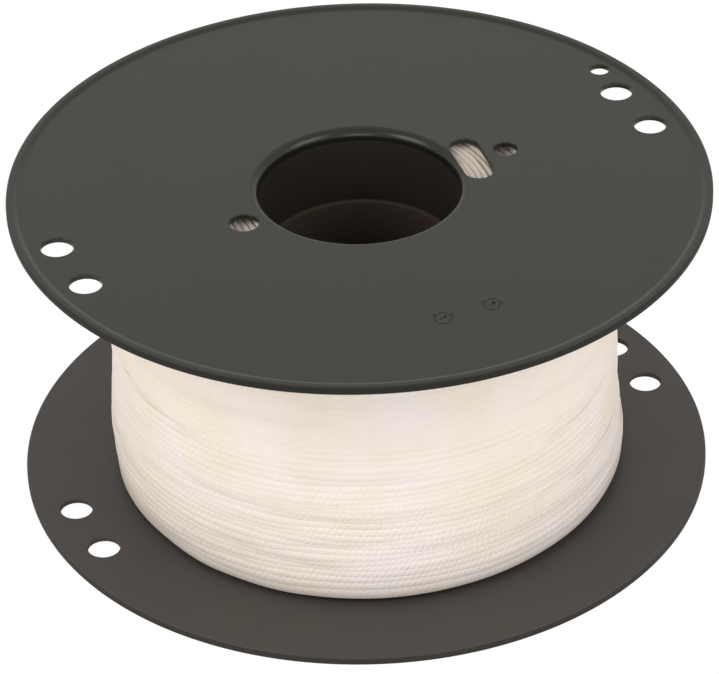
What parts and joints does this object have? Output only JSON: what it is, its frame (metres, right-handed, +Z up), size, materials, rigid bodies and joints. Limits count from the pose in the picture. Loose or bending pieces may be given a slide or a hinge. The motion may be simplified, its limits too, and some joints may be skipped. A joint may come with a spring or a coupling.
{
  "type": "string reel",
  "caption": "Flanged plastic reel with a hollow hub, wound full with white racket string; string-end holes near the rim and the hub.",
  "frame": {"origin": "middle of the ring that the reel stands on, at the bottom", "axes": "+Z up along the reel's axis; +X to the right in the picture and -Y towards the camera"},
  "size_m": [0.14, 0.14, 0.066],
  "materials": {
    "flange_plastic": "satin charcoal polystyrene",
    "hub_plastic": "satin charcoal polystyrene",
    "string": "off-white twisted nylon"
  },
  "bodies": {
    "root": {"lower_flange": "flange_plastic", "upper_flange": "flange_plastic", "outer_sleeve": "hub_plastic", "inner_sleeve": "hub_plastic", "string_core": "string", "string_outer_layer": "string"}
  },
  "joints": []
}
